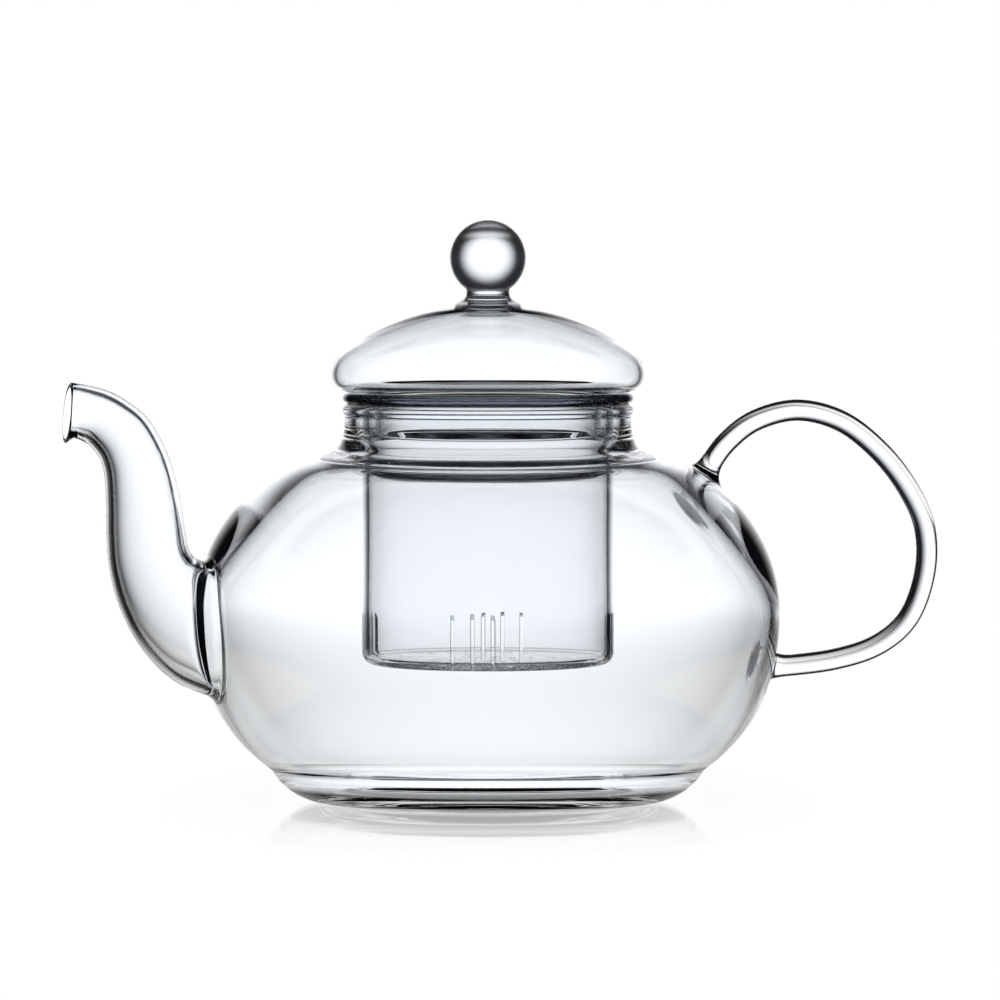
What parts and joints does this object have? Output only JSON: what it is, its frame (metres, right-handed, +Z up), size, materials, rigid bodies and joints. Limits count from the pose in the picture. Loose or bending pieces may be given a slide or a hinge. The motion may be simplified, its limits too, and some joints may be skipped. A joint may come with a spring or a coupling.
{
  "type": "teapot",
  "caption": "Clear glass teapot with a fused curved spout and rod handle, a lift-out slitted glass infuser and a lift-off domed lid with a ball knob.",
  "frame": {"origin": "centre of the ring that the pot stands on, on the axis of the body", "axes": "+Z up along the body's axis, the spout points along -X and the handle along +X"},
  "size_m": [0.2124, 0.1402, 0.1398],
  "materials": {
    "pot_glass": "clear blown borosilicate glass, fire polished",
    "weld_glass": "clear glass, flame welded, slightly uneven",
    "rod_glass": "clear solid glass rod, fire polished",
    "infuser_glass": "clear drawn glass tube, fire polished edges",
    "infuser_base_glass": "clear glass, faintly speckled on its upper face, sawn slits",
    "lid_glass": "clear blown glass, fire polished",
    "knob_glass": "clear solid glass ball and stem"
  },
  "bodies": {
    "pot": {"pot_body": "pot_glass", "spout": "pot_glass", "spout_collar": "weld_glass", "handle_rod": "rod_glass", "handle_upper_weld": "weld_glass", "handle_lower_weld": "weld_glass"},
    "infuser": {"infuser_tube": "infuser_glass", "infuser_flange": "infuser_glass", "infuser_base": "infuser_base_glass"},
    "lid": {"lid_shell": "lid_glass", "lid_skirt": "lid_glass", "lid_stem": "knob_glass", "lid_knob": "knob_glass"}
  },
  "joints": [
    {"name": "infuser_lift", "type": "slide", "parent": "pot", "child": "infuser", "axis": [0, 0, 1], "range_m": [0, 0.08]},
    {"name": "lid_lift", "type": "slide", "parent": "infuser", "child": "lid", "axis": [0, 0, 1], "range_m": [0, 0.04]}
  ]
}
